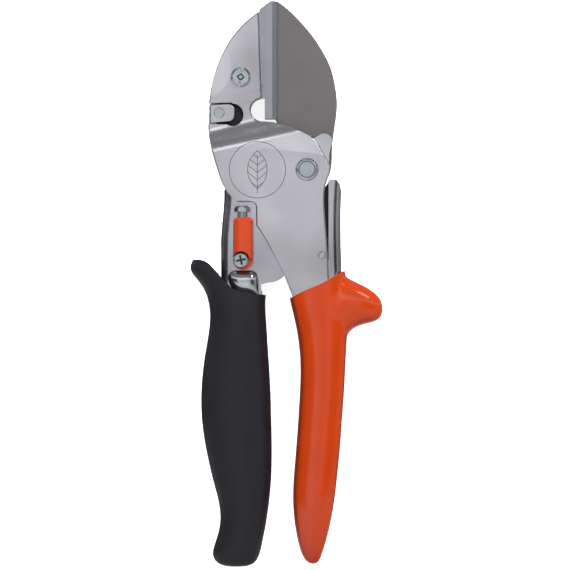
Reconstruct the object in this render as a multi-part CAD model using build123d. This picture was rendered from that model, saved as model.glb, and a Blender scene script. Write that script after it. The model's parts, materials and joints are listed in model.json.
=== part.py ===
from build123d import *
import math
import os

os.makedirs("parts", exist_ok=True)

# Units are millimetres.  The part is drawn with the main pivot at X0 Y0 and
# the blade mid-plane at Z0, then moved so that the middle of the underside of
# the whole tool lands on the origin.  +Y runs to the blade tip, +Z is the
# side with the lock lever.
CENTRE_X, CENTRE_Y, REST_Z = -8.35, -42.3, -10.5

# layers, measured out from the blade mid-plane
BLADE_HALF = 1.6
INNER_FLANGE = (2.85, 4.35)      # sheet of the moving handle core
OUTER_FLANGE = (3.0, 4.5)        # sheet of the fixed handle core
BEND_R = 2.8                     # outside radius where either sheet is folded
PLATE = (4.5, 6.2)               # side plates around the pivot
VALLEY = (1.7, 3.4)              # side plates in the pressed channel
PANEL = (2.3, 4.0)               # side plates beside the anvil
FRONT_HEIGHT = 11.0              # top of the lock lever

# pivot
PIVOT_SHANK_R = 3.0
BUSHING_GAP = 0.05
BUSHING_R = 4.05
PIVOT_HEAD_R, PIVOT_HEAD_H = 4.2, 1.8
PIVOT_WASHER_R, PIVOT_WASHER_H = 5.2, 0.8
PIVOT_NUT_FLATS = 9.0

# lock lever and its adjusting screw
LEVER_X, LEVER_Y = -24.3, -33.4
LEVER_AXIS_Z = 8.0
LEVER_MID_X, LEVER_WIDTH = -23.6, 7.3
LEVER_TOP_Y, LEVER_UNDER_Z = -17.7, 4.6
LEVER_PIN_R, LEVER_GAP = 1.75, 0.05
HEX_X, HEX_TOP_Y, HEX_UNDER_Y = -23.9, -13.5, -15.6
HEX_FLATS, HEX_SHANK_R = 5.0, 1.7

# spring between the two handle cores
SPRING_Y, SPRING_R, SPRING_WIRE_R, SPRING_TURNS = -27.0, 2.15, 0.5, 11
SPRING_LEFT_X, SPRING_RIGHT_X = -28.8, 9.9

ANVIL_SCREW = (-24.5, 34.2)
TAB_RIVET = (-32.5, 21.1)
HANDLE_RIVET = (5.5, -31.6)
BLADE_RIVETS = [(-10.2, -5.4), (-7.6, -15.4)]


def face(*curves):
    """Flat face inside curves that meet end to end."""
    return Face(Wire([edge for curve in curves for edge in curve.edges()]))


def slab(outline, low, high):
    """Prism of a flat outline between two heights."""
    return extrude(Pos(0, 0, low) * outline, amount=high - low, dir=(0, 0, 1))


def both_sides(outline, low, high):
    """The same prism on the front and on the back of the mid-plane."""
    return slab(outline, low, high) + slab(outline, -high, -low)


def rod(place, radius, low, high):
    """Round bar standing along Z."""
    return Pos(place[0], place[1], (low + high) / 2) * Cylinder(radius, high - low)


def hexagon(place, flats, low, high):
    """Hexagonal bar standing along Z."""
    shape = RegularPolygon(flats / math.sqrt(3), 6)
    return Pos(place[0], place[1], low) * extrude(shape, amount=high - low)


def polygon(*points):
    return face(Polyline(*points, close=True))


def rim(solid, side):
    """Edges round the skin that looks up (side 1) or down (side -1)."""
    found = {}
    for skin in solid.faces():
        if skin.normal_at(skin.center()).Z * side > 0.5:
            for edge in skin.edges():
                middle = edge.center()
                key = [round(part, 2) for part in (middle.X, middle.Y, middle.Z, edge.length)]
                found.setdefault(tuple(key), []).append(edge)
    return [edges[0] for edges in found.values() if len(edges) == 1]


def oval_section(y, left, right, half, power=2.7):
    """Rounded cross-section of a handle at one place along its length."""
    points = []
    for step in range(12):
        angle = math.radians(30 * step)
        across, up = math.cos(angle), math.sin(angle)
        across = math.copysign(abs(across) ** (2 / power), across)
        up = math.copysign(abs(up) ** (2 / power), up)
        points.append(((left + right) / 2 + across * (right - left) / 2, y, up * half))
    return face(Spline(*points, periodic=True))


# ---------------------------------------------------------------- side plates
def plate_outline(notched):
    """Outline of a side plate; the front one has a notch for the hex head."""
    edges = [
        Spline((-17.9, 58.5), (-23.3, 54.2), (-28.3, 48.2), (-32.0, 41.4),
               (-34.7, 33.8), (-36.0, 27.0)),
        Spline((-36.0, 27.0), (-36.5, 21.5), (-36.4, 14.0), (-35.2, 7.3),
               (-32.9, -0.7), (-30.9, -5.9), (-27.3, -10.5)),
    ]
    if notched:
        edges += [Polyline((-27.3, -10.5), (-25.8, -11.9), (-20.7, -11.9)),
                  ThreePointArc((-20.7, -11.9), (-19.4, -12.5), (-18.8, -13.9)),
                  Line((-18.8, -13.9), (-18.7, -20.5))]
    else:
        edges += [Spline((-27.3, -10.5), (-23.0, -14.6), (-18.7, -20.5))]
    edges += [
        Spline((-18.7, -20.5), (-16.3, -24.1), (-11.8, -32.2), (-8.3, -39.2),
               (-5.2, -47.0), (-2.2, -54.0), (0.4, -62.0), (1.4, -75.0)),
        Line((1.4, -75.0), (9.4, -75.0)),
        Spline((9.4, -75.0), (8.9, -60.0), (8.2, -45.0), (7.7, -31.0),
               (6.8, -19.0), (6.4, -10.0), (7.2, -4.6), (8.7, 0.6), (6.3, 5.6),
               (2.6, 11.6), (-5.5, 15.6), (-12.0, 17.5), (-16.3, 18.0)),
        ThreePointArc((-16.3, 18.0), (-20.8, 22.3), (-16.8, 26.6)),
        Line((-16.8, 26.6), (-17.9, 58.5)),
    ]
    return face(*edges)


# The sheet is pressed along a line that leans 13 degrees from the X axis.
PRESS_ANGLE = 13.0
PRESS = [(14.0, 0.0), (23.0, 1.0), (29.0, 1.0), (33.0, (PLATE[0] - PANEL[0]) / (PLATE[0] - VALLEY[0]))]


def pressed_sheet(side):
    """Wide sheet, bent to the three levels of a side plate."""
    across = Vector(-math.sin(math.radians(PRESS_ANGLE)), math.cos(math.radians(PRESS_ANGLE)), 0)
    along = Vector(across.Y, -across.X, 0)

    def skin(base):
        drop = PLATE[0] - VALLEY[0]
        level = [side * (base - drop * part) for _, part in PRESS]
        at = [place for place, _ in PRESS]
        flat = [(1, 0), (1, 0)]
        return [
            Line((-100, level[0]), (at[0], level[0])),
            Spline((at[0], level[0]), (at[1], level[1]), tangents=flat),
            Line((at[1], level[1]), (at[2], level[2])),
            Spline((at[2], level[2]), (at[3], level[3]), tangents=flat),
            Line((at[3], level[3]), (80, level[3])),
        ]

    inner, outer = skin(PLATE[0]), skin(PLATE[1])
    ends = [Line(inner[0] @ 0, outer[0] @ 0), Line(inner[-1] @ 1, outer[-1] @ 1)]
    profile = face(*inner, *outer, *ends)
    plane = Plane(origin=(0, 0, 0), x_dir=across, z_dir=along)
    return extrude(plane * profile, amount=80, both=True)


screw_holes = (rod((0, 0), PIVOT_SHANK_R, -12, 12) + rod(ANVIL_SCREW, 2.0, -12, 12)
               + rod(TAB_RIVET, 1.2, -12, 12))
screw_holes += rod(HANDLE_RIVET, 0.9, -12, 12)

body_front_plate = pressed_sheet(1) & slab(plate_outline(True), 0, 9)
body_rear_plate = pressed_sheet(-1) & slab(plate_outline(False), -9, 0)

# Rolled edges where the plates show, above the dipped sleeve.
PLATE_EDGE_R = 0.5
body_front_plate = fillet([edge for edge in rim(body_front_plate, 1) if edge.center().Y > -60],
                          PLATE_EDGE_R)
body_rear_plate = fillet([edge for edge in rim(body_rear_plate, -1) if edge.center().Y > -60],
                         PLATE_EDGE_R)

# A tab of the rear plate wraps the left edge and lies in a slot of the front one.
TAB_LEFT, TAB_WALL = -35.9, 1.7
tab_outline = fillet(polygon((TAB_LEFT, 17.3), (-26.8, 18.1), (-26.5, 24.7), (TAB_LEFT, 24.1))
                     .vertices().sort_by(Axis.X)[-2:], 2.5)
tab = slab(tab_outline, *VALLEY)
tab = fillet(rim(tab, 1), 0.4)
tab += slab(polygon((TAB_LEFT, 17.3), (TAB_LEFT + TAB_WALL, 17.4), (TAB_LEFT + TAB_WALL, 24.2),
                    (TAB_LEFT, 24.1)), -3.0, VALLEY[1] - 0.4)
body_rear_plate += tab
tab_slot = slab(polygon((-40, 16.7), (-27.6, 16.9), (-27.6, 24.9), (-40, 24.7)), 0, 9)
tab_slot += rod((-27.6, 20.4), 4.15, 0, 9)
body_front_plate -= tab_slot
body_front_plate -= screw_holes
body_rear_plate -= screw_holes

head_spacer = slab(polygon((-34.0, 17.6), (-30.0, 15.8), (-23.0, 15.8), (-23.0, 25.2), (-34.0, 24.0)),
                   -VALLEY[0], VALLEY[0]) - screw_holes

# --------------------------------------------------------------------- anvil
ANVIL_RIGHT, ANVIL_LEFT = -11.2, -15.6
GROOVE_HALF, GROOVE_X = 1.95, -12.0      # the blade's edge lies in this groove when shut
anvil_profile = polygon((ANVIL_LEFT, -3.8), (ANVIL_LEFT, 3.8), (-12.8, 3.8), (ANVIL_RIGHT, 3.0),
                        (ANVIL_RIGHT, GROOVE_HALF), (GROOVE_X, GROOVE_HALF),
                        (GROOVE_X, -GROOVE_HALF), (ANVIL_RIGHT, -GROOVE_HALF),
                        (ANVIL_RIGHT, -3.0), (-12.8, -3.8))
anvil = extrude(Plane(origin=(0, 19.0, 0), x_dir=(1, 0, 0), z_dir=(0, -1, 0)) * anvil_profile,
                amount=43.5, dir=(0, 1, 0))
anvil -= slab(polygon((-13.2, 62.6), (ANVIL_LEFT, 61.1), (-17, 61.1), (-17, 64), (-13.2, 64)), -5, 5)
TONGUE_FOOT = [(ANVIL_LEFT, 26.7), (-17.3, 26.7), (-17.6, 32.0), (ANVIL_LEFT, 32.0)]
anvil += slab(polygon(*TONGUE_FOOT), -1.55, 1.55)
anvil += slab(face(
    Polyline((ANVIL_LEFT, 31.4), (ANVIL_LEFT, 61.0), (-17.3, 59.9), (-18.2, 57.6),
             (-19.8, 50.0), (-21.0, 43.6)),
    Spline((-21.0, 43.6), (-26.0, 41.6), (-29.0, 36.4), (-27.2, 32.0)),
    Line((-27.2, 32.0), (ANVIL_LEFT, 31.4))), -PANEL[0], PANEL[0])
anvil -= screw_holes

# --------------------------------------------------- moving handle: steel core
inner_core_outline = face(
    Polyline((-31.8, -40.0), (-31.8, -30.0)),
    Spline((-31.8, -30.0), (-31.2, -18.0), (-30.6, -10.0), (-30.6, -7.4)),
    Spline((-30.6, -7.4), (-20.0, -0.5), (-8.0, 4.4), (1.6, 10.9), (5.2, 13.2)),
    ThreePointArc((5.2, 13.2), (8.4, 12.6), (9.4, 9.7)),
    Spline((9.4, 9.7), (8.2, 4.0), (7.6, -2.4), (3.0, -7.4), (-3.4, -11.4),
           (-5.6, -22.0), (-6.6, -34.0), (-8.6, -39.4), (-11.2, -41.1), (-14.4, -41.7)),
    Polyline((-14.4, -41.7), (-17.0, -42.4), (-17.0, -46.0), (-18.0, -60.0), (-18.4, -118.0),
             (-29.6, -118.0), (-29.4, -75.0), (-28.0, -46.0), (-28.6, -42.8), (-31.8, -40.0)))
inner_core_cavity = polygon(
    (-29.2, 20), (-29.2, -8.0), (-29.7, -18.0), (-30.3, -30.0), (-30.3, -39.2), (-27.2, -42.0),
    (-26.5, -46.0), (-27.9, -75.0), (-28.1, -125.0), (20, -125.0), (20, 20))
left_handle_core = slab(inner_core_outline, -INNER_FLANGE[1], INNER_FLANGE[1])
for side in (1, -1):
    skirt = rim(left_handle_core, side)
    web = [edge for edge in skirt if edge.center().X < -30 and edge.center().Y > -38]
    left_handle_core = fillet(web, BEND_R)
left_handle_core -= slab(inner_core_cavity, -INNER_FLANGE[0], INNER_FLANGE[0])
neck_sections = [(-37.2, -28.2, -18.8, 4.7), (-38.3, -29.5, -17.8, 5.8), (-40.4, -29.7, -17.4, 6.4),
                 (-44.0, -28.3, -17.2, 6.0), (-54.0, -28.2, -17.4, 6.0)]
left_handle_core += loft([oval_section(*row, power=3.4) for row in neck_sections])

moving_holes = rod((0, 0), BUSHING_R, -9, 9)
for place in BLADE_RIVETS:
    moving_holes += rod(place, 1.5, -9, 9)
left_handle_core -= moving_holes
left_handle_core -= rod((LEVER_X, LEVER_Y), LEVER_PIN_R, 0, 9)

# --------------------------------------------------------------------- blade
blade = slab(face(
    Line((-11.6, 62.5), (-10.7, 62.5)),
    Spline((-10.7, 62.5), (-5.6, 58.4), (-1.9, 54.6), (1.9, 50.1), (5.7, 44.4), (8.7, 38.4),
           (10.6, 30.8), (11.2, 25.2), (10.4, 16.3), (9.4, 8.0), (8.6, -1.0), (4.0, -7.4),
           (-1.6, -12.0), (-3.4, -18.0), (-7.4, -20.6), (-12.0, -18.0), (-14.8, -8.0),
           (-13.6, -1.0), (-9.6, 6.0), (-9.6, 13.0), (-11.6, 18.6)),
    Line((-11.6, 18.6), (-11.6, 62.5))), -BLADE_HALF, BLADE_HALF)
blade = fillet([edge for edge in rim(blade, 1) if edge.length > 60], 0.4)
# one bevel, ground on the back down to the cutting edge
BEVEL_WIDTH, EDGE_DEPTH = 4.0, 0.4
bevel = polygon((-12.0, BLADE_HALF - EDGE_DEPTH), (-11.6 + BEVEL_WIDTH, -BLADE_HALF), (-12.0, -BLADE_HALF))
bevel_plane = Plane(origin=(0, 17.0, 0), x_dir=(1, 0, 0), z_dir=(0, -1, 0))
blade -= extrude(bevel_plane * bevel, amount=50, dir=(0, 1, 0))
blade -= moving_holes

SPACER_R = 6.4
blade_spacers = both_sides(face(CenterArc((0, 0), SPACER_R, 0, 360)), BLADE_HALF, INNER_FLANGE[0])
for x, y in BLADE_RIVETS:
    blade_spacers += both_sides(face(CenterArc((x, y), 3.0, 0, 360)), BLADE_HALF, INNER_FLANGE[0])
blade_spacers -= moving_holes

blade_rivets = Compound([rod(place, 1.5, -INNER_FLANGE[1], INNER_FLANGE[1])
                         for place in BLADE_RIVETS])
pivot_bushing = (rod((0, 0), BUSHING_R, -INNER_FLANGE[1], INNER_FLANGE[1])
                 - rod((0, 0), PIVOT_SHANK_R + BUSHING_GAP, -9, 9))

# ---------------------------------------------------- fixed handle: steel core
outer_core_outline = face(
    ThreePointArc((1.2, -9.0), (6.0, -6.9), (8.3, -3.6)),
    Polyline((8.3, -3.6), (10.8, -3.6), (12.2, -5.2), (12.8, -8.0)),
    Spline((12.8, -8.0), (12.8, -36.0), (13.3, -52.0), (13.2, -70.0), (12.4, -90.0),
           (11.2, -106.0), (9.6, -120.0), (8.0, -130.0)),
    Line((8.0, -130.0), (-3.2, -130.0)),
    Spline((-3.2, -130.0), (-3.8, -119.0), (-2.9, -106.0), (-1.8, -90.0), (-1.0, -70.0),
           (0.6, -52.0), (1.2, -36.0), (1.2, -9.0)))
outer_core_cavity = face(
    Line((-10, 5), (11.3, 5)), Line((11.3, 5), (11.3, -5.6)),
    Spline((11.3, -5.6), (11.3, -36.0), (11.8, -52.0), (11.7, -70.0), (10.9, -90.0),
           (9.7, -106.0), (8.1, -120.0), (6.5, -132.0)),
    Polyline((6.5, -132.0), (-10, -132.0), (-10, 5)))
right_handle_core = slab(outer_core_outline, -OUTER_FLANGE[1], OUTER_FLANGE[1])
for side in (1, -1):
    skirt = rim(right_handle_core, side)
    right_handle_core = fillet([edge for edge in skirt if edge.length > 100 and edge.center().X > 8],
                               BEND_R)
right_handle_core -= slab(outer_core_cavity, -OUTER_FLANGE[0], OUTER_FLANGE[0])
# Above the rivet only a narrow lip of the front flange is left, with a gap beside the plate.
LIP_LEFT = 8.0
lip_gap = polygon((-5, 0), (LIP_LEFT, 0), (LIP_LEFT, -33.5), (7.0, -32.6), (6.9, -27.0), (-5, -27.0))
right_handle_core -= slab(lip_gap, 2.5, 5.0)
right_handle_core -= screw_holes

RIVET_HEAD_R, RIVET_HEAD_H = 1.45, 0.8
right_handle_rivets = (rod(HANDLE_RIVET, 0.9, -PLATE[1], PLATE[1])
                       + rod(HANDLE_RIVET, RIVET_HEAD_R, PLATE[1], PLATE[1] + RIVET_HEAD_H)
                       + rod(HANDLE_RIVET, RIVET_HEAD_R, -PLATE[1] - RIVET_HEAD_H, -PLATE[1]))
rivet_rims = right_handle_rivets.edges().filter_by(GeomType.CIRCLE).group_by(Axis.Z)
right_handle_rivets = fillet(rivet_rims[-1] + rivet_rims[0], 0.6)

# ------------------------------------------------------------ dipped sleeve
sleeve_sections = [
    (-36.0, -6.9, 14.6, 7.9), (-44.0, -6.7, 15.0, 8.0), (-52.0, -5.1, 15.2, 8.1),
    (-60.0, -3.4, 15.3, 8.2), (-69.0, -2.5, 14.8, 8.2), (-80.0, -2.6, 14.1, 8.2),
    (-95.0, -3.5, 13.1, 8.2), (-108.0, -4.4, 12.2, 8.1), (-119.0, -5.5, 10.9, 7.9),
    (-130.0, -4.8, 9.3, 7.3), (-138.5, -3.4, 7.2, 5.9), (-143.2, -1.9, 5.6, 4.1),
    (-146.0, 1.0, 4.0, 1.8)]
finger_stop = slab(face(
    Spline((8.0, -37.0), (14.6, -38.6), (21.2, -43.2), (26.0, -47.2), (27.4, -51.4), (24.6, -55.6),
           (19.4, -57.6), (16.4, -60.6), (14.6, -66.0), (8.0, -70.0)),
    Line((8.0, -70.0), (8.0, -37.0))), -6.2, 6.2)
stop_rims = finger_stop.edges().group_by(Axis.Z)
finger_stop = fillet([edge for rim in (stop_rims[0], stop_rims[-1])
                      for edge in rim if edge.center().X > 8.5], 3.0)
right_handle_coating = loft([oval_section(*row, power=3.8) for row in sleeve_sections])
right_handle_coating += finger_stop
above_sleeve = face(
    Spline((-9.0, -49.0), (-6.1, -47.5), (-1.7, -45.0), (5.6, -41.9), (11.5, -38.5),
           (16.0, -37.4)),
    Polyline((16.0, -37.4), (40, -37.4), (40, -20), (-9.0, -20), (-9.0, -49.0)))
right_handle_coating -= slab(above_sleeve, -12, 12)
right_handle_coating -= slab(polygon((1.2, -30), (11.3, -30), (11.3, -70), (1.2, -70)),
                             -OUTER_FLANGE[0], OUTER_FLANGE[0])
right_handle_coating -= right_handle_core
right_handle_coating -= slab(plate_outline(True), PLATE[0], PLATE[1])
right_handle_coating -= slab(plate_outline(False), -PLATE[1], -PLATE[0])

# ------------------------------------------------------------- moulded grip
grip_sections = [
    (-31.0, -41.6, -12.0, 7.0), (-34.0, -43.0, -12.2, 7.6), (-37.0, -44.0, -12.5, 8.2),
    (-40.4, -41.4, -13.2, 9.0), (-44.0, -38.6, -14.6, 9.8), (-48.0, -37.0, -15.4, 10.3),
    (-55.0, -36.1, -14.7, 10.7), (-62.0, -37.0, -14.5, 10.9), (-74.0, -39.0, -13.5, 11.1),
    (-88.0, -39.7, -12.9, 11.1), (-100.0, -38.4, -12.6, 11.0), (-112.0, -36.1, -12.9, 10.8),
    (-124.0, -32.5, -13.9, 10.5), (-133.0, -32.7, -15.2, 9.8), (-140.6, -34.8, -16.9, 8.2),
    (-144.6, -33.6, -18.6, 5.8), (-147.1, -29.6, -23.0, 2.2)]
left_grip = loft([oval_section(*row) for row in grip_sections])
above_grip = face(
    Spline((-47.0, -34.6), (-44.4, -34.2), (-41.1, -33.2), (-38.3, -33.5), (-34.0, -37.3),
           (-29.8, -42.0), (-25.5, -44.6), (-19.9, -45.6), (-15.0, -46.4), (-9.0, -47.0)),
    Polyline((-9.0, -47.0), (-9.0, -20.0), (-47.0, -20.0), (-47.0, -34.6)))
left_grip -= slab(above_grip, -13, 13)
left_grip -= slab(polygon((-50, -20), (0, -20), (0, -160), (-50, -160)), -14, REST_Z)
left_grip -= left_handle_core

# --------------------------------------------------------------- lock lever
LEVER_HALF = LEVER_WIDTH / 2
lever_left, lever_right = LEVER_MID_X - LEVER_HALF, LEVER_MID_X + LEVER_HALF
lever_outline = face(
    ThreePointArc((lever_left, LEVER_Y), (LEVER_MID_X, LEVER_Y - LEVER_HALF), (lever_right, LEVER_Y)),
    Line((lever_right, LEVER_Y), (lever_right - 0.1, LEVER_TOP_Y)),
    Line((lever_right - 0.1, LEVER_TOP_Y), (lever_left + 0.2, LEVER_TOP_Y)),
    Line((lever_left + 0.2, LEVER_TOP_Y), (lever_left, LEVER_Y)))
LEVER_HEAD_R, LEVER_EYE_TOP = 2.9, 8.2
lock_lever = slab(lever_outline, LEVER_UNDER_Z, FRONT_HEIGHT)
long_edges = [edge for edge in rim(lock_lever, 1) if abs((edge % 0.5).Y) > 0.9]
lock_lever = fillet(long_edges, 2.4)
lock_lever = chamfer(lock_lever.faces().sort_by(Axis.Y)[-1].edges().sort_by(Axis.Z)[-1], 0.9)
lock_lever -= rod((LEVER_X, LEVER_Y), LEVER_HEAD_R + 0.3, LEVER_EYE_TOP, 12)
lock_lever -= slab(polygon((lever_left - 1, LEVER_Y + 0.5), (lever_right + 1, LEVER_Y + 0.5),
                           (lever_right + 1, LEVER_Y - 6), (lever_left - 1, LEVER_Y - 6)), LEVER_EYE_TOP, 12)
lock_lever -= rod((LEVER_X, LEVER_Y), LEVER_PIN_R + LEVER_GAP, 0, 12)


def bar_along_y(radius, low, high):
    """Round bar on the axis of the adjusting screw."""
    middle = Pos(HEX_X, (low + high) / 2, LEVER_AXIS_Z)
    return middle * Rot(90, 0, 0) * Cylinder(radius, high - low)


SCREW_END_Y, BORE_END_Y = -25.4, -27.6
lock_lever -= bar_along_y(HEX_SHANK_R + 0.05, BORE_END_Y, LEVER_TOP_Y + 1)

hex_bar = extrude(RegularPolygon(HEX_FLATS / math.sqrt(3), 6), amount=HEX_TOP_Y - HEX_UNDER_Y)
hex_bar = Pos(HEX_X, HEX_UNDER_Y, LEVER_AXIS_Z) * Rot(-90, 0, 0) * hex_bar
head_cone = Pos(HEX_X, HEX_TOP_Y - 0.55, LEVER_AXIS_Z) * Rot(-90, 0, 0) * Cone(2.95, 2.3, 1.1)
head_body = bar_along_y(3.2, HEX_UNDER_Y, HEX_TOP_Y - 1.1)
limit_screw = (hex_bar & (head_cone + head_body)) + bar_along_y(HEX_SHANK_R, SCREW_END_Y, HEX_UNDER_Y)

lock_lever_screw = (rod((LEVER_X, LEVER_Y), LEVER_PIN_R, 0.5, LEVER_EYE_TOP)
                    + rod((LEVER_X, LEVER_Y), LEVER_HEAD_R, LEVER_EYE_TOP + 0.1, 10.2)
                    + rod((LEVER_X, LEVER_Y), LEVER_PIN_R, LEVER_EYE_TOP, 9.0))
lock_lever_screw = fillet(lock_lever_screw.edges().filter_by(GeomType.CIRCLE).group_by(Axis.Z)[-1], 0.9)
for turn in (0, 90):
    slot = Pos(LEVER_X, LEVER_Y, 10.0) * Rot(0, 0, turn + 12) * Box(3.6, 0.8, 1.6)
    lock_lever_screw -= slot
lock_lever_nut = (hexagon((LEVER_X, LEVER_Y), 6.0, 0.4, INNER_FLANGE[0])
                  - rod((LEVER_X, LEVER_Y), LEVER_PIN_R, 0, 9))

# ------------------------------------------------------- screws, nuts, rivets
pivot_bolt = (rod((0, 0), PIVOT_SHANK_R, REST_Z + 0.1, PLATE[1])
              + rod((0, 0), PIVOT_HEAD_R, PLATE[1], PLATE[1] + PIVOT_HEAD_H))
pivot_bolt = fillet(pivot_bolt.edges().filter_by(GeomType.CIRCLE).group_by(Axis.Z)[-1], 1.0)
pivot_bolt -= rod((0, 0), 3.1, PLATE[1] + PIVOT_HEAD_H - 0.3, 10) - rod((0, 0), 2.8, 7, 11)
pivot_washer = (rod((0, 0), PIVOT_WASHER_R, -PLATE[1] - PIVOT_WASHER_H, -PLATE[1])
                - rod((0, 0), PIVOT_SHANK_R, -12, 0))
pivot_nut = (hexagon((0, 0), PIVOT_NUT_FLATS, REST_Z, -PLATE[1] - PIVOT_WASHER_H)
             - rod((0, 0), PIVOT_SHANK_R, -12, 0))

anvil_screw = (rod(ANVIL_SCREW, 2.0, -6.8, PANEL[1]) + rod(ANVIL_SCREW, 3.7, PANEL[1], PANEL[1] + 1.6))
anvil_screw = chamfer(anvil_screw.edges().filter_by(GeomType.CIRCLE).group_by(Axis.Z)[-1], 0.8)
SCREW_TOP, SLOT_LEAN = PANEL[1] + 1.6, 80
for turn in (0, 180):
    notch = Pos(2.9, 0, 0) * Box(1.8, 0.9, 1.6)
    anvil_screw -= Pos(ANVIL_SCREW[0], ANVIL_SCREW[1], SCREW_TOP) * Rot(0, 0, SLOT_LEAN + turn) * notch
anvil_screw -= (Pos(ANVIL_SCREW[0], ANVIL_SCREW[1], SCREW_TOP)
                * Rot(0, 0, SLOT_LEAN + 45) * (Box(2.2, 2.2, 1.2) - Box(1.1, 1.1, 2.0)))
anvil_nut = hexagon(ANVIL_SCREW, 7.0, -7.0, -PANEL[1]) - rod(ANVIL_SCREW, 2.0, -12, 0)

TAB_RIVET_END = VALLEY[1] + 0.6
tab_rivet = (rod(TAB_RIVET, 1.2, -VALLEY[1], VALLEY[1]) + rod(TAB_RIVET, 2.0, VALLEY[1], TAB_RIVET_END)
             + rod(TAB_RIVET, 2.0, -TAB_RIVET_END, -VALLEY[1]))
tab_rivet = fillet(tab_rivet.edges().filter_by(GeomType.CIRCLE).group_by(Axis.Z)[-1], 0.35)

# --------------------------------------------------------------------- spring
spring_length = SPRING_RIGHT_X - SPRING_LEFT_X
coil_path = Helix(spring_length / SPRING_TURNS, spring_length, SPRING_R)
coil_start = Plane(origin=coil_path @ 0, z_dir=coil_path % 0)
spring = sweep(coil_start * Circle(SPRING_WIRE_R), path=coil_path, is_frenet=True)
spring = Pos(SPRING_LEFT_X, SPRING_Y, 0) * Rot(0, 90, 0) * spring


def spring_seat(wall_x, towards):
    """Cup with a stub that holds one end of the spring."""
    turned = Rot(0, 90 * towards, 0)
    return Pos(wall_x, SPRING_Y, 0) * turned * (Pos(0, 0, 0.3) * Cylinder(2.7, 0.6)
                                                + Pos(0, 0, 2.0) * Cylinder(1.5, 4.0))


spring_seat_left = spring_seat(-30.0, 1)
spring_seat_right = spring_seat(11.2, -1)
spring_seat_left -= left_handle_core
spring_seat_right -= right_handle_core

# ---------------------------------------------------------------------- write
nodes = {
    "body_front_plate": body_front_plate, "body_rear_plate": body_rear_plate,
    "head_spacer": head_spacer, "tab_rivet": tab_rivet,
    "anvil": anvil, "anvil_screw": anvil_screw, "anvil_nut": anvil_nut,
    "pivot_bolt": pivot_bolt, "pivot_washer": pivot_washer, "pivot_nut": pivot_nut,
    "right_handle_core": right_handle_core, "right_handle_coating": right_handle_coating,
    "right_handle_rivets": right_handle_rivets, "spring_seat_right": spring_seat_right,
    "blade": blade, "blade_spacers": blade_spacers, "blade_rivets": blade_rivets,
    "pivot_bushing": pivot_bushing, "left_handle_core": left_handle_core,
    "left_grip": left_grip, "spring_seat_left": spring_seat_left, "spring": spring,
    "lock_lever": lock_lever, "lock_lever_screw": lock_lever_screw,
    "lock_lever_nut": lock_lever_nut, "limit_screw": limit_screw,
}
to_frame = Pos(-CENTRE_X, -CENTRE_Y, -REST_Z)
for name, solid in nodes.items():
    export_step(to_frame * solid, f"parts/{name}.step")
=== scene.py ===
import bpy
import json
import math
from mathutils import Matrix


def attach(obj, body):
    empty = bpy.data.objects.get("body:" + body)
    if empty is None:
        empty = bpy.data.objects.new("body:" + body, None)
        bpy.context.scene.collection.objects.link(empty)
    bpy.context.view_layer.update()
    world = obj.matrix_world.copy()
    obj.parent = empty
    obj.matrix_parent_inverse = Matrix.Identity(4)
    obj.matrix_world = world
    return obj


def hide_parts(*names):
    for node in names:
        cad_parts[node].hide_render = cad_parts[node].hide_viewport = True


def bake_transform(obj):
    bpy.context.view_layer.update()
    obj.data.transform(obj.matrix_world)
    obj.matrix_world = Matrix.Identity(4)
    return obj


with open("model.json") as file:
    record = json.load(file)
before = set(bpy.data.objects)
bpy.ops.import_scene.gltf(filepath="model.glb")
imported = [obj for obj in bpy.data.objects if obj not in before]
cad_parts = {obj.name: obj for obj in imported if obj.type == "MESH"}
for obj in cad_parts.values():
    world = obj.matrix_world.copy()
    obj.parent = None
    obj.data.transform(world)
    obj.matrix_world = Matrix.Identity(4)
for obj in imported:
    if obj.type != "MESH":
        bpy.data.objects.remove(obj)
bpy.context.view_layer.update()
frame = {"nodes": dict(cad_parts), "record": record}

MM = 0.001
# the pivot bolt's axis and the tool's middle plane, in millimetres
PIVOT_X, PIVOT_Y, MID_Z = 8.35, 42.3, 10.5

# ------------------------------------------------------------------ camera
# Straight above the tool, with the blade tip at the top of the view.
VIEW_CENTRE = (0.25 * MM, -0.3 * MM)
VIEW_WIDTH = 210.9 * MM
LENS, SENSOR = 150.0, 36.0
SUBJECT_HEIGHT = 14.0 * MM
NEAREST_SEEN = 10.0 * MM

camera_data = bpy.data.cameras.new("camera")
camera_data.lens = LENS
camera_data.sensor_width = SENSOR
camera_data.clip_start = NEAREST_SEEN
camera = bpy.data.objects.new("camera", camera_data)
camera.location = (VIEW_CENTRE[0], VIEW_CENTRE[1], SUBJECT_HEIGHT + VIEW_WIDTH * LENS / SENSOR)
bpy.context.collection.objects.link(camera)
bpy.context.scene.camera = camera


# ------------------------------------------------------- shader node groups
def new_group(name, inputs, outputs):
    """Shader node group with named sockets; returns it with its two ends."""
    group = bpy.data.node_groups.new(name, "ShaderNodeTree")
    for socket, value in inputs.items():
        kind = "NodeSocketFloat" if isinstance(value, float) else "NodeSocketVector"
        made = group.interface.new_socket(socket, in_out="INPUT", socket_type=kind)
        made.default_value = value
    for socket in outputs:
        group.interface.new_socket(socket, in_out="OUTPUT", socket_type="NodeSocketFloat")
    start = group.nodes.new("NodeGroupInput")
    end = group.nodes.new("NodeGroupOutput")
    return group, start, end


def add(tree, kind, settings=None, **inputs):
    """One node, with properties and input values set by name."""
    node = tree.nodes.new(kind)
    for key, value in (settings or {}).items():
        setattr(node, key, value)
    for key, value in inputs.items():
        node.inputs[key.replace("_", " ")].default_value = value
    return node


def math_node(tree, operation, first, second=None):
    """Result of one sum whose terms are numbers or sockets."""
    node = add(tree, "ShaderNodeMath", {"operation": operation})
    for slot, value in enumerate((first, second)):
        if value is None:
            continue
        if isinstance(value, (int, float)):
            node.inputs[slot].default_value = value
        else:
            tree.links.new(value, node.inputs[slot])
    return node.outputs[0]


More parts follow.
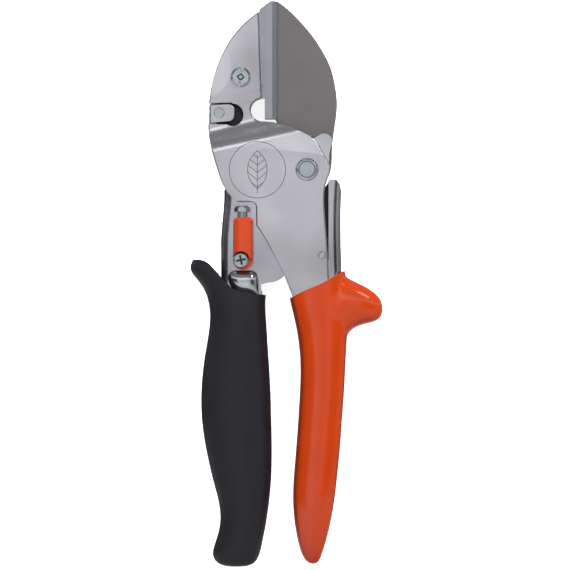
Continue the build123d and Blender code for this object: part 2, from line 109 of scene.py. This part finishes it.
def vector_node(tree, operation, first, second):
    """Result of one vector sum of two sockets."""
    node = add(tree, "ShaderNodeVectorMath", {"operation": operation})
    tree.links.new(first, node.inputs[0])
    tree.links.new(second, node.inputs[1])
    return node.outputs["Vector"]


def blotches_group():
    """Soft uneven patches, as handling and polishing leave them."""
    group, start, end = new_group(
        "blotches", {"Scale": 60.0, "Detail": 4.0, "Low": 0.2, "High": 0.3}, ["Value"])
    place = add(group, "ShaderNodeTexCoord")
    noise = add(group, "ShaderNodeTexNoise", Roughness=0.6)
    group.links.new(start.outputs["Detail"], noise.inputs["Detail"])
    group.links.new(place.outputs["Object"], noise.inputs["Vector"])
    group.links.new(start.outputs["Scale"], noise.inputs["Scale"])
    spread = add(group, "ShaderNodeMapRange", From_Min=0.3, From_Max=0.7)
    group.links.new(noise.outputs["Fac"], spread.inputs["Value"])
    group.links.new(start.outputs["Low"], spread.inputs["To Min"])
    group.links.new(start.outputs["High"], spread.inputs["To Max"])
    group.links.new(spread.outputs["Result"], end.inputs["Value"])
    return group


def grain_group():
    """Fine surface grain, given out as a height from 0 to 1."""
    group, start, end = new_group("grain", {"Scale": 2500.0, "Stretch": 1.0}, ["Height"])
    place = add(group, "ShaderNodeTexCoord")
    along = add(group, "ShaderNodeCombineXYZ", X=1.0, Z=1.0)
    group.links.new(start.outputs["Stretch"], along.inputs["Y"])
    squeezed = vector_node(group, "MULTIPLY", place.outputs["Object"], along.outputs["Vector"])
    noise = add(group, "ShaderNodeTexNoise", Detail=3.0, Roughness=0.55)
    group.links.new(squeezed, noise.inputs["Vector"])
    group.links.new(start.outputs["Scale"], noise.inputs["Scale"])
    group.links.new(noise.outputs["Fac"], end.inputs["Height"])
    return group


def box_mask_group():
    """1 between two corners and 0 outside them, with a soft border."""
    group, start, end = new_group(
        "box mask", {"Low": (0, 0, 0), "High": (0, 0, 0), "Border": 0.2 * MM}, ["Mask"])
    place = add(group, "ShaderNodeTexCoord")
    above = vector_node(group, "SUBTRACT", place.outputs["Object"], start.outputs["Low"])
    below = vector_node(group, "SUBTRACT", start.outputs["High"], place.outputs["Object"])
    part = add(group, "ShaderNodeSeparateXYZ")
    group.links.new(vector_node(group, "MINIMUM", above, below), part.inputs["Vector"])
    depth = math_node(group, "MINIMUM", part.outputs["X"],
                      math_node(group, "MINIMUM", part.outputs["Y"], part.outputs["Z"]))
    border = add(group, "ShaderNodeMapRange")
    group.links.new(depth, border.inputs["Value"])
    group.links.new(start.outputs["Border"], border.inputs["From Max"])
    group.links.new(border.outputs["Result"], end.inputs["Mask"])
    return group


def disc_mask_group():
    """1 within a radius of an upright line, between two heights."""
    group, start, end = new_group(
        "disc mask", {"Centre": (0, 0, 0), "Radius": 1.0 * MM, "Low": 0.0, "High": 0.0}, ["Mask"])
    place = add(group, "ShaderNodeTexCoord")
    off = vector_node(group, "SUBTRACT", place.outputs["Object"], start.outputs["Centre"])
    flat = add(group, "ShaderNodeVectorMath", {"operation": "MULTIPLY"})
    flat.inputs[1].default_value = (1, 1, 0)
    group.links.new(off, flat.inputs[0])
    far = add(group, "ShaderNodeVectorMath", {"operation": "LENGTH"})
    group.links.new(flat.outputs["Vector"], far.inputs[0])
    near = math_node(group, "LESS_THAN", far.outputs["Value"], start.outputs["Radius"])
    part = add(group, "ShaderNodeSeparateXYZ")
    group.links.new(place.outputs["Object"], part.inputs["Vector"])
    over = math_node(group, "GREATER_THAN", part.outputs["Z"], start.outputs["Low"])
    under = math_node(group, "LESS_THAN", part.outputs["Z"], start.outputs["High"])
    mask = math_node(group, "MULTIPLY", near, math_node(group, "MULTIPLY", over, under))
    group.links.new(mask, end.inputs["Mask"])
    return group


BLOTCHES = blotches_group()
GRAIN = grain_group()
BOX_MASK = box_mask_group()
DISC_MASK = disc_mask_group()


def use(tree, group, **values):
    """A group placed in a material with its own values."""
    node = tree.nodes.new("ShaderNodeGroup")
    node.node_tree = group
    for key, value in values.items():
        node.inputs[key].default_value = value
    return node


# ---------------------------------------------------------------- finishes
# broad waviness of pressed sheet steel: noise scale and height in metres
WAVE_SCALE, WAVE_DEPTH = 32.0, 0.6 * MM
TONE_DETAIL = 1.5


def material(name, colour, metallic=0.0, rough=(0.2, 0.3), patch_scale=60.0, grain_scale=2500.0,
             grain_stretch=1.0, grain_depth=0.01 * MM, wave_depth=0.0, dull=0.93, tone_scale=100.0,
             **extra):
    """Principled finish with uneven gloss, a fine grain and, on sheet metal, a broad waviness."""
    made = bpy.data.materials.new(name)
    made.use_nodes = True
    tree = made.node_tree
    shader = tree.nodes["Principled BSDF"]
    shader.inputs["Metallic"].default_value = metallic
    for key, value in extra.items():
        shader.inputs[key.replace("_", " ")].default_value = value
    patches = use(tree, BLOTCHES, Scale=patch_scale, Low=rough[0], High=rough[1])
    tree.links.new(patches.outputs["Value"], shader.inputs["Roughness"])
    tone = use(tree, BLOTCHES, Scale=tone_scale, Detail=TONE_DETAIL, Low=0.0, High=1.0)
    mix = add(tree, "ShaderNodeMix", {"data_type": "RGBA"})
    mix.inputs["A"].default_value = (*[part * dull for part in colour], 1.0)
    mix.inputs["B"].default_value = (*colour, 1.0)
    tree.links.new(tone.outputs["Value"], mix.inputs["Factor"])
    tree.links.new(mix.outputs["Result"], shader.inputs["Base Color"])
    grain = use(tree, GRAIN, Scale=grain_scale, Stretch=grain_stretch)
    bump = add(tree, "ShaderNodeBump", Strength=1.0, Distance=grain_depth)
    tree.links.new(grain.outputs["Height"], bump.inputs["Height"])
    tree.links.new(bump.outputs["Normal"], shader.inputs["Normal"])
    if wave_depth:
        wave = use(tree, BLOTCHES, Scale=WAVE_SCALE, Detail=0.0, Low=0.0, High=1.0)
        wave_bump = add(tree, "ShaderNodeBump", Strength=1.0, Distance=wave_depth)
        tree.links.new(wave.outputs["Value"], wave_bump.inputs["Height"])
        tree.links.new(wave_bump.outputs["Normal"], bump.inputs["Normal"])
    return made


def darken(made, masks, colour):
    """Painted shade for deep places of a finish, and the dark lines of the engraving: where a mask
    is 1 the colour turns dark.
    """
    tree = made.node_tree
    shader = tree.nodes["Principled BSDF"]
    whole = masks[0](tree)
    for mask in masks[1:]:
        whole = math_node(tree, "MAXIMUM", whole, mask(tree))
    source = shader.inputs["Base Color"].links[0].from_socket
    mix = add(tree, "ShaderNodeMix", {"data_type": "RGBA"})
    mix.inputs["B"].default_value = (*colour, 1.0)
    tree.links.new(whole, mix.inputs["Factor"])
    tree.links.new(source, mix.inputs["A"])
    tree.links.new(mix.outputs["Result"], shader.inputs["Base Color"])


def in_box(low, high):
    """Mask of a box between two corners in millimetres."""
    corners = [tuple(part * MM for part in corner) for corner in (low, high)]
    return lambda tree: use(tree, BOX_MASK, Low=corners[0], High=corners[1]).outputs["Mask"]


def in_disc(x, y, radius, low, high):
    """Mask of a disc between two heights in millimetres."""
    return lambda tree: use(tree, DISC_MASK, Centre=(x * MM, y * MM, 0), Radius=radius * MM,
                            Low=low * MM, High=high * MM).outputs["Mask"]


# the engraving: a ring, and a leaf between two crossing arcs; millimetres, but VEIN_SLOPE and
# VEIN_WIDER are ratios
RING_CENTRE, RING_R, CUT_HALF = (-9.95, 42.2), 10.4, 0.13
LEAF_OFFSET, LEAF_ARC_R, LEAF_STEM, LEAF_VEIN_TOP = 5.0, 8.6, 8.8, 5.4
VEIN_GAP, VEIN_SLOPE, VEIN_SHIFT, VEIN_WIDER = 1.35, 0.8, 1.0, 1.2
ENGRAVED_ABOVE = 16.0


def ring_and_leaf(tree):
    """Mask of a ring with a plain leaf in it, cut finely into the plate."""
    place = add(tree, "ShaderNodeTexCoord")
    move = add(tree, "ShaderNodeMapping")
    move.inputs["Location"].default_value = (-RING_CENTRE[0] * MM, -RING_CENTRE[1] * MM, 0.0)
    tree.links.new(place.outputs["Object"], move.inputs["Vector"])
    part = add(tree, "ShaderNodeSeparateXYZ")
    tree.links.new(move.outputs["Vector"], part.inputs["Vector"])
    x, y, z = (part.outputs[axis] for axis in "XYZ")

    def circle(centre_x, radius):
        """Distance in metres from the line of a circle centred at the ring's height."""
        across = math_node(tree, "SUBTRACT", x, centre_x * MM)
        squares = math_node(tree, "ADD", math_node(tree, "MULTIPLY", across, across),
                            math_node(tree, "MULTIPLY", y, y))
        return math_node(tree, "SUBTRACT", math_node(tree, "SQRT", squares), radius * MM)

    def line(distance):
        """1 on the cut line, 0 away from it."""
        return math_node(tree, "LESS_THAN", math_node(tree, "ABSOLUTE", distance), CUT_HALF * MM)

    ring = line(circle(0, RING_R))
    right_arc = circle(-LEAF_OFFSET, LEAF_ARC_R)
    left_arc = circle(LEAF_OFFSET, LEAF_ARC_R)
    outline = math_node(tree, "MAXIMUM", right_arc, left_arc)
    inside = math_node(tree, "LESS_THAN", outline, 0.0)
    low = math_node(tree, "GREATER_THAN", y, -LEAF_STEM * MM)
    high = math_node(tree, "LESS_THAN", y, LEAF_VEIN_TOP * MM)
    stem = math_node(tree, "MULTIPLY", line(x), math_node(tree, "MULTIPLY", low, high))
    rise = math_node(tree, "MULTIPLY", math_node(tree, "ABSOLUTE", x), VEIN_SLOPE)
    slant = math_node(tree, "ADD", math_node(tree, "SUBTRACT", y, rise), VEIN_SHIFT * MM)
    step = math_node(tree, "PINGPONG", slant, VEIN_GAP * MM)
    veins = math_node(tree, "MULTIPLY",
                      math_node(tree, "LESS_THAN", step, CUT_HALF * VEIN_WIDER * MM), inside)
    cut = ring
    for more in (line(outline), stem, veins):
        cut = math_node(tree, "MAXIMUM", cut, more)
    above = math_node(tree, "GREATER_THAN", z, ENGRAVED_ABOVE * MM)
    return math_node(tree, "MULTIPLY", cut, above)


SHEET_STEEL = dict(metallic=1.0, grain_scale=1500, grain_stretch=0.04, grain_depth=0.0012 * MM,
                   wave_depth=WAVE_DEPTH, dull=0.68, tone_scale=33)

FINISHES = {
    "plate_steel": material("polished plate steel", (0.68, 0.675, 0.71), rough=(0.17, 0.23),
                            patch_scale=40, **SHEET_STEEL),
    "core_steel": material("plated core steel", (0.64, 0.64, 0.69), rough=(0.15, 0.22),
                           patch_scale=50, **SHEET_STEEL),
    "anvil_steel": material("anvil steel", (0.40, 0.42, 0.45), metallic=1.0, rough=(0.26, 0.34),
                            patch_scale=80, grain_scale=3000, grain_stretch=0.1,
                            grain_depth=0.001 * MM),
    "fastener_steel": material("zinc plating", (0.52, 0.57, 0.59), metallic=1.0, rough=(0.24, 0.36),
                               patch_scale=300, grain_scale=4000, grain_depth=0.002 * MM),
    "spring_steel": material("spring wire", (0.55, 0.55, 0.57), metallic=1.0, rough=(0.25, 0.35),
                             patch_scale=300),
    "bushing_brass": material("bushing brass", (0.72, 0.52, 0.24), metallic=1.0, rough=(0.25, 0.35),
                              patch_scale=300),
    # partly the spacer's own black, partly painted shade: its near-black stands in for the shade
    # deep in the slot of the head
    "seat_plastic": material("black spacer plastic and painted slot shade", (0.008, 0.007, 0.007), rough=(0.5, 0.6),
                             patch_scale=200, Specular_IOR_Level=0.2),
    "blade_coating": material("blade coating", (0.072, 0.066, 0.067), metallic=0.2,
                              rough=(0.45, 0.55), patch_scale=70, grain_scale=2600,
                              grain_depth=0.012 * MM, Specular_IOR_Level=0.35),
    "orange_dip": material("dipped orange vinyl", (0.25, 0.0225, 0.0022), rough=(0.06, 0.10),
                           patch_scale=30, grain_scale=220, Specular_IOR_Level=0.32,
                           Coat_Weight=0.25, Coat_Roughness=0.05),
    "orange_plastic": material("moulded orange plastic", (0.26, 0.023, 0.0022), rough=(0.25, 0.35),
                               patch_scale=120, grain_scale=1800, grain_depth=0.006 * MM),
    "black_grip": material("soft black grip", (0.0065, 0.0062, 0.0085), rough=(0.40, 0.50),
                           patch_scale=60, grain_scale=2600, grain_depth=0.02 * MM,
                           Specular_IOR_Level=0.3),
}


def copy_of_finish(slot_name, name):
    made = FINISHES[slot_name].copy()
    made.name = name
    return made


def engraved_plate():
    """The plate finish with the ring and leaf cut into its outer face."""
    made = copy_of_finish("plate_steel", "engraved plate steel")
    darken(made, [ring_and_leaf], (0.20, 0.19, 0.22))
    return made


def core_steel_with_painted_channel_shade():
    """Core steel with painted shade inside the two folded channels, where the deep interior falls
    dark.
    """
    made = copy_of_finish("core_steel", "core steel with painted channel shade")
    right_channel_shade = in_box((5.0, -100.0, 7.3), (19.45, 60.0, 13.62))
    left_channel_shade = in_box((-22.3, 5.6, 7.5), (5.0, 60.0, 13.4))
    # painted shade: the insides of both channels are coloured near black
    darken(made, [right_channel_shade, left_channel_shade], (0.035, 0.035, 0.04))
    return made


def zinc_with_painted_recess_shade():
    """Zinc plating with painted shade: dark in the screw recesses and in the groove of the pivot
    head.
    """
    made = copy_of_finish("fastener_steel", "zinc plating with painted recess shade")
    lever_recess_shade = in_disc(-15.95, 8.9, 1.9, 19.3, 20.45)
    anvil_recess_shade = in_disc(-16.15, 76.5, 2.2, 14.0, 15.95)
    pivot_groove_shade = in_disc(PIVOT_X, PIVOT_Y, 3.15, 17.9, 18.3)
    # painted shade: the recesses and the groove are coloured dark
    darken(made, [lever_recess_shade, anvil_recess_shade, pivot_groove_shade], (0.06, 0.065, 0.07))
    return made


def give_finish(finish, *names):
    for name in names:
        for slot in frame["nodes"][name].material_slots:
            slot.material = finish


for part in frame["record"]["subparts"]:
    give_finish(FINISHES[part["material_slot"]], part["node"])
give_finish(engraved_plate(), "body_front_plate")
give_finish(core_steel_with_painted_channel_shade(), "left_handle_core", "right_handle_core")
give_finish(zinc_with_painted_recess_shade(), "pivot_bolt", "anvil_screw", "lock_lever_screw")


# ------------------------------------------------------- modelling helpers
SAME_POINT = 0.002 * MM
SIDE_CUTS = 3


def deselect_everything():
    if bpy.context.object and bpy.context.object.mode != "OBJECT":
        bpy.ops.object.mode_set(mode="OBJECT")
    bpy.ops.object.select_all(action="DESELECT")


def select_only(piece):
    deselect_everything()
    piece.select_set(True)
    bpy.context.view_layer.objects.active = piece


def edit_all_of(piece):
    select_only(piece)
    bpy.ops.object.mode_set(mode="EDIT")
    bpy.ops.mesh.select_all(action="SELECT")


def apply_modifiers(piece):
    select_only(piece)
    for modifier in list(piece.modifiers):
        bpy.ops.object.modifier_apply(modifier=modifier.name)


def place_in_mesh(piece):
    select_only(piece)
    bpy.ops.object.transform_apply(location=True, rotation=True, scale=True)


def settle(piece, name, body, slot_name, smooth_angle):
    """Place in the mesh, smooth faces, name, finish, body and slot."""
    place_in_mesh(piece)
    bpy.ops.object.shade_smooth_by_angle(angle=math.radians(smooth_angle))
    piece.name = name
    piece.data.name = name
    piece.data.materials.clear()
    piece.data.materials.append(FINISHES[slot_name])
    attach(piece, body)


def ring_tube(sections, roundness):
    """Closed tube along Y: each section is (y, left, right, low, high) in millimetres.

    A square is divided and pulled towards a circle, then its face is drawn out and resized
    section by section."""
    deselect_everything()
    y, left, right, low, high = sections[0]
    bpy.ops.mesh.primitive_circle_add(vertices=4, radius=1.0, fill_type="NOTHING",
                                      rotation=(math.radians(90), math.radians(45), 0))
    piece = bpy.context.object
    edit_all_of(piece)
    bpy.ops.mesh.subdivide(number_cuts=SIDE_CUTS)
    bpy.ops.transform.tosphere(value=roundness)
    bpy.ops.mesh.edge_face_add()
    bpy.ops.object.mode_set(mode="OBJECT")
    place_in_mesh(piece)
    half = piece.dimensions.x / 2
    piece.scale = ((right - left) / 2 * MM / half, 1, (high - low) / 2 * MM / half)
    piece.location = ((left + right) / 2 * MM, y * MM, (low + high) / 2 * MM)
    place_in_mesh(piece)
    edit_all_of(piece)
    for before, after in zip(sections, sections[1:]):
        shift = ((after[1] + after[2] - before[1] - before[2]) / 2 * MM,
                 (after[0] - before[0]) * MM,
                 (after[3] + after[4] - before[3] - before[4]) / 2 * MM)
        bpy.ops.mesh.extrude_region_move(TRANSFORM_OT_translate={"value": shift})
        wide = (after[2] - after[1]) / (before[2] - before[1])
        tall = (after[4] - after[3]) / (before[4] - before[3])
        middle = ((after[1] + after[2]) / 2 * MM, after[0] * MM, (after[3] + after[4]) / 2 * MM)
        bpy.ops.transform.resize(value=(wide, 1, tall), center_override=middle)
    bpy.ops.mesh.select_all(action="SELECT")
    bpy.ops.mesh.normals_make_consistent(inside=False)
    bpy.ops.object.mode_set(mode="OBJECT")
    return piece


def merge_points(piece, gap):
    """Points that lie closer together than the gap become one."""
    edit_all_of(piece)
    bpy.ops.mesh.remove_doubles(threshold=gap)
    bpy.ops.mesh.dissolve_degenerate(threshold=gap)
    bpy.ops.object.mode_set(mode="OBJECT")


def subdivide_smooth(piece):
    """Two levels of subdivision, applied."""
    soft = piece.modifiers.new("soft", "SUBSURF")
    soft.levels = soft.render_levels = 2
    apply_modifiers(piece)


# cutters reach past both faces of every piece
CUT_LOW, CUT_HIGH = -2.0, 24.0
CURVE_STEPS = 10


def outline_block(points):
    """Closed block with a smooth outline through the points, for cutting.

    Each point is (x, y, handle) in millimetres from the pivot."""
    deselect_everything()
    curve = bpy.data.curves.new("outline", "CURVE")
    curve.dimensions = "2D"
    curve.fill_mode = "BOTH"
    curve.extrude = (CUT_HIGH - CUT_LOW) / 2 * MM
    line = curve.splines.new("BEZIER")
    line.bezier_points.add(len(points) - 1)
    for knot, (x, y, handle) in zip(line.bezier_points, points):
        knot.co = ((x + PIVOT_X) * MM, (y + PIVOT_Y) * MM, 0)
        knot.handle_left_type = knot.handle_right_type = handle
    line.use_cyclic_u = True
    line.resolution_u = CURVE_STEPS
    block = bpy.data.objects.new("outline", curve)
    bpy.context.collection.objects.link(block)
    select_only(block)
    bpy.ops.object.convert(target="MESH")
    block.location = (0, 0, (CUT_HIGH + CUT_LOW) / 2 * MM)
    place_in_mesh(block)
    edit_all_of(block)
    bpy.ops.mesh.remove_doubles(threshold=SAME_POINT)
    bpy.ops.mesh.normals_make_consistent(inside=False)
    bpy.ops.object.mode_set(mode="OBJECT")
    return block


def combine(piece, other, operation):
    """Boolean of two pieces; the other one is used up."""
    combined = piece.modifiers.new("combine", "BOOLEAN")
    combined.object = other
    combined.operation = operation
    combined.solver = "EXACT"
    apply_modifiers(piece)
    bpy.data.objects.remove(other)


def round_cut_edges(piece, width, angle):
    edge = piece.modifiers.new("edge", "BEVEL")
    edge.width = width * MM
    edge.segments = 3
    edge.limit_method = "ANGLE"
    edge.angle_limit = math.radians(angle)
    edge.use_clamp_overlap = True
    apply_modifiers(piece)


def from_pivot(rows):
    """Sections in the part's own frame, from rows measured from the pivot and the middle plane."""
    return [(y + PIVOT_Y, left + PIVOT_X, right + PIVOT_X, MID_Z - half, MID_Z + half)
            for y, left, right, half in rows]


# ------------------------------------------------------------ moulded grip
# (y, left, right, half thickness) down the handle
GRIP_ROWS = [
    (-29.0, -40.9, -12.0, 6.6), (-32.4, -42.4, -12.0, 7.2), (-35.2, -43.9, -12.0, 7.8),
    (-38.0, -43.6, -12.3, 8.4), (-41.0, -40.6, -13.0, 9.0), (-44.6, -38.1, -14.6, 9.7),
    (-49.0, -36.6, -15.3, 10.2), (-55.0, -36.0, -14.8, 10.4), (-62.0, -37.0, -14.4, 10.4),
    (-71.0, -38.7, -13.7, 10.4), (-82.0, -39.8, -13.0, 10.4), (-93.0, -39.6, -12.8, 10.4),
    (-104.0, -37.8, -12.5, 10.4), (-115.0, -35.3, -12.8, 10.4), (-124.0, -32.5, -13.8, 10.2),
    (-131.5, -32.1, -14.9, 9.8), (-138.0, -34.2, -16.2, 9.2), (-142.0, -35.6, -17.0, 8.2),
    (-145.4, -34.6, -18.4, 6.4), (-147.2, -30.5, -21.5, 3.6)]
# the cut at the grip's mouth, which leaves the thumb hook standing on the left
CRADLE = [(-52, -36.0, "VECTOR"), (-46.5, -34.2, "AUTO"), (-41.3, -33.2, "AUTO"),
          (-38.2, -33.6, "AUTO"), (-34.2, -37.1, "AUTO"), (-31.0, -40.8, "AUTO"),
          (-27.0, -44.2, "AUTO"), (-22.0, -45.5, "AUTO"), (-15.4, -46.3, "AUTO"),
          (-8.0, -47.2, "VECTOR"), (-8.0, -20.0, "VECTOR"), (-52, -20.0, "VECTOR")]
GRIP_ROUNDNESS, GRIP_EDGE, GRIP_SAME_POINT = 0.84, 0.9, 0.01 * MM


def moulded_grip():
    grip = ring_tube(from_pivot(GRIP_ROWS), GRIP_ROUNDNESS)
    subdivide_smooth(grip)
    combine(grip, outline_block(CRADLE), "DIFFERENCE")
    round_cut_edges(grip, GRIP_EDGE, angle=45)
    merge_points(grip, GRIP_SAME_POINT)
    settle(grip, "grip", "blade_side", "black_grip", smooth_angle=50)
    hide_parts("left_grip")


# ----------------------------------------------------------- dipped sleeve
SLEEVE_ROWS = [
    (-33.0, -8.2, 14.0, 7.9), (-38.0, -7.9, 14.4, 8.0), (-44.0, -7.3, 14.8, 8.1),
    (-50.0, -6.1, 15.0, 8.2), (-57.0, -4.3, 15.2, 8.3), (-64.0, -3.1, 15.0, 8.3),
    (-72.0, -2.4, 14.5, 8.3), (-82.0, -2.7, 14.1, 8.3), (-93.0, -3.4, 13.2, 8.3),
    (-104.0, -4.2, 12.5, 8.2), (-113.0, -5.0, 11.5, 8.1), (-121.0, -5.5, 10.7, 7.9),
    (-129.0, -5.0, 9.4, 7.4), (-136.0, -3.9, 7.8, 6.5), (-141.5, -2.5, 6.1, 5.0),
    (-144.8, -0.9, 5.0, 3.4), (-146.4, 1.1, 3.7, 1.6)]
# the finger stop: (x, top, bottom, half thickness) from the sleeve out to the right
HORN_ROWS = [
    (6.0, -36.0, -69.0, 7.6), (10.0, -37.2, -67.4, 8.0), (13.6, -38.6, -63.0, 8.1),
    (16.4, -40.3, -59.4, 8.0), (19.0, -41.6, -58.0, 7.8), (21.6, -42.8, -57.2, 7.6),
    (24.2, -44.4, -56.8, 7.2), (26.8, -46.6, -55.6, 6.2), (28.2, -49.2, -53.8, 4.0)]
# the cut at the sleeve's mouth
MOUTH = [(-12.0, -50.0, "VECTOR"), (-6.6, -47.7, "AUTO"), (-1.7, -45.0, "AUTO"),
         (5.6, -41.9, "AUTO"), (11.0, -38.9, "AUTO"), (14.6, -37.2, "AUTO"),
         (18.0, -37.6, "AUTO"), (24.0, -38.0, "VECTOR"), (24.0, -20.0, "VECTOR"),
         (-12.0, -20.0, "VECTOR")]
SLEEVE_ROUNDNESS, HORN_ROUNDNESS, SLEEVE_EDGE = 0.38, 0.62, 0.5
MELT_VOXEL, MELT_FACTOR, MELT_PASSES = 0.5 * MM, 0.5, 30


def horn_tube():
    """The finger stop: a blunt horn, drawn along Y and then turned to point right."""
    sections = [(x, -top, -bottom, MID_Z - half, MID_Z + half) for x, top, bottom, half in HORN_ROWS]
    horn = ring_tube(sections, HORN_ROUNDNESS)
    horn.rotation_euler = (0, 0, math.radians(-90))
    place_in_mesh(horn)
    horn.location = (PIVOT_X * MM, PIVOT_Y * MM, 0)
    place_in_mesh(horn)
    subdivide_smooth(horn)
    return horn


def melt_together(piece):
    """Voxels and smoothing turn a joined piece into one flowing skin."""
    voxels = piece.modifiers.new("voxels", "REMESH")
    voxels.mode = "VOXEL"
    voxels.voxel_size = MELT_VOXEL
    melt = piece.modifiers.new("melt", "SMOOTH")
    melt.factor = MELT_FACTOR
    melt.iterations = MELT_PASSES
    apply_modifiers(piece)


def dipped_sleeve():
    sleeve = ring_tube(from_pivot(SLEEVE_ROWS), SLEEVE_ROUNDNESS)
    subdivide_smooth(sleeve)
    combine(sleeve, horn_tube(), "UNION")
    melt_together(sleeve)
    combine(sleeve, outline_block(MOUTH), "DIFFERENCE")
    round_cut_edges(sleeve, SLEEVE_EDGE, angle=55)
    settle(sleeve, "dipped_sleeve", "fixed_side", "orange_dip", smooth_angle=60)
    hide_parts("right_handle_coating")


# ---------------------------------------------------------- opening spring
def opening_spring():
    """A smooth copy of the wire spring, in place of the CAD one."""
    spring = bpy.data.objects.new("opening_spring", frame["nodes"]["spring"].data.copy())
    bpy.context.collection.objects.link(spring)
    edit_all_of(spring)
    bpy.ops.mesh.remove_doubles(threshold=SAME_POINT)
    bpy.ops.object.mode_set(mode="OBJECT")
    bpy.ops.object.shade_smooth_by_angle(angle=math.radians(40))
    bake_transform(spring)
    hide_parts("spring")


moulded_grip()
dipped_sleeve()
opening_spring()


# ------------------------------------------------------------------- floor
FLOOR_WIDTH, FLOOR_DROP = 6.0, 0.2 * MM
PAPER_WHITE, PAPER_ROUGHNESS, PAPER_GLOW = 0.9, 0.9, 0.75


def pale_floor():
    """Plain white paper just under the tool, lit from itself so that shadows stay soft."""
    bpy.ops.mesh.primitive_plane_add(size=FLOOR_WIDTH, location=(0, 0, -FLOOR_DROP))
    floor = bpy.context.object
    floor.name = "floor"
    finish = bpy.data.materials.new("pale paper")
    finish.use_nodes = True
    paper = finish.node_tree.nodes["Principled BSDF"]
    paper.inputs["Base Color"].default_value = (PAPER_WHITE, PAPER_WHITE, PAPER_WHITE, 1.0)
    paper.inputs["Roughness"].default_value = PAPER_ROUGHNESS
    paper.inputs["Emission Color"].default_value = (1.0, 1.0, 1.0, 1.0)
    paper.inputs["Emission Strength"].default_value = PAPER_GLOW
    floor.data.materials.append(finish)
    floor.visible_glossy = False


pale_floor()

# ------------------------------------------------------------------ studio
# Each list holds (place along one part of the direction, level) and is straight in between.
# brightness from the horizon up to straight overhead
OVERHEAD = [(0.0, 0.55), (0.5, 0.75), (0.93, 0.85), (0.985, 0.95), (1.0, 0.62)]
# brightness from overhead out past the blade tip: a bright strip, then a grey card
NORTH = [(0.0, 1.0), (0.15, 1.0), (0.23, 2.3), (0.33, 0.5), (0.46, 0.33), (0.84, 0.33), (0.95, 1.0)]
# blackness from left (0) to right (1): a flag at each side draws the dark lines along the bends
FLAGS = [(0.0, 0.8), (0.04, 1.0), (0.365, 1.0), (0.415, 0.0), (0.585, 0.0), (0.635, 1.0),
         (0.84, 1.0), (0.90, 0.35), (1.0, 0.35)]
# how much of the flags is left, from straight across the tool towards its tip or its handles
FLAG_ENDS = [(0.0, 1.0), (0.16, 1.0), (0.24, 0.0)]
FLAG_BLACKNESS = 0.93
# a little brighter from the left than from the right: (sideways direction, brightness)
LEAN_LEFT, LEAN_RIGHT = (-0.05, 1.1), (0.06, 0.78)
# every grey of the studio is this much stronger in blue
COOLER = 1.02

world = bpy.data.worlds.new("studio")
bpy.context.scene.world = world
world.use_nodes = True
sky = world.node_tree


def ramp_of(value, stops):
    """Brightness along one value, straight between its stops."""
    node = add(sky, "ShaderNodeValToRGB")
    elements = node.color_ramp.elements
    while len(elements) < len(stops):
        elements.new(0.5)
    for element, (place, brightness) in zip(elements, stops):
        element.position = place
        element.color = (brightness, brightness, brightness * COOLER, 1.0)
    sky.links.new(value, node.inputs["Fac"])
    return node.outputs["Color"]


def studio_light():
    """The world's colour and strength by direction: it lights the tool and shows in the steel."""
    direction = add(sky, "ShaderNodeTexCoord")
    split = add(sky, "ShaderNodeSeparateXYZ")
    sky.links.new(direction.outputs["Generated"], split.inputs["Vector"])
    overhead = ramp_of(split.outputs["Z"], OVERHEAD)
    north = ramp_of(split.outputs["Y"], NORTH)
    sideways = add(sky, "ShaderNodeMapRange", From_Min=-1.0, From_Max=1.0)
    sky.links.new(split.outputs["X"], sideways.inputs["Value"])
    flags = ramp_of(sideways.outputs["Result"], FLAGS)
    level = ramp_of(math_node(sky, "ABSOLUTE", split.outputs["Y"]), FLAG_ENDS)
    black = math_node(sky, "MULTIPLY", flags, level)
    unflagged = math_node(sky, "SUBTRACT", 1.0, math_node(sky, "MULTIPLY", black, FLAG_BLACKNESS))
    lean = add(sky, "ShaderNodeMapRange", From_Min=LEAN_LEFT[0], From_Max=LEAN_RIGHT[0],
               To_Min=LEAN_LEFT[1], To_Max=LEAN_RIGHT[1])
    sky.links.new(split.outputs["X"], lean.inputs["Value"])
    strength = math_node(sky, "MULTIPLY", math_node(sky, "MULTIPLY", north, unflagged),
                         lean.outputs["Result"])
    background = sky.nodes["Background"]
    sky.links.new(overhead, background.inputs["Color"])
    sky.links.new(strength, background.inputs["Strength"])


def lamp(name, place, target, size, watts, glossy):
    """Rectangular lamp that points at a place; a glossy one shows in reflections."""
    data = bpy.data.lights.new(name, "AREA")
    data.shape = "RECTANGLE"
    data.size, data.size_y = size
    data.energy = watts
    item = bpy.data.objects.new(name, data)
    item.location = place
    item.visible_glossy = glossy
    aim = [target[i] - place[i] for i in range(3)]
    item.rotation_euler = (math.atan2(math.hypot(aim[0], aim[1]), -aim[2]), 0,
                           math.atan2(aim[1], aim[0]) - math.pi / 2)
    bpy.context.collection.objects.link(item)


SOFTBOX, PANEL, LOW_PANEL, STRIP = (0.6, 0.5), (0.6, 0.6), (0.8, 0.5), (0.22, 0.025)
HEAD, MIDDLE = (0, 0.03, 0), (0, 0, 0)

studio_light()
lamp("key", (-0.15, 0.64, 0.70), HEAD, SOFTBOX, 14.0, glossy=False)
lamp("fill", (0.55, 0.45, 0.65), MIDDLE, PANEL, 13.0, glossy=False)
lamp("below", (0.0, -0.8, 0.8), MIDDLE, LOW_PANEL, 3.0, glossy=False)
lamp("strip a", (0.42, 0.50, 0.60), MIDDLE, STRIP, 0.34, glossy=True)
lamp("strip b", (0.36, 0.44, 0.66), MIDDLE, STRIP, 0.34, glossy=True)

bpy.context.scene.view_settings.view_transform = "Standard"
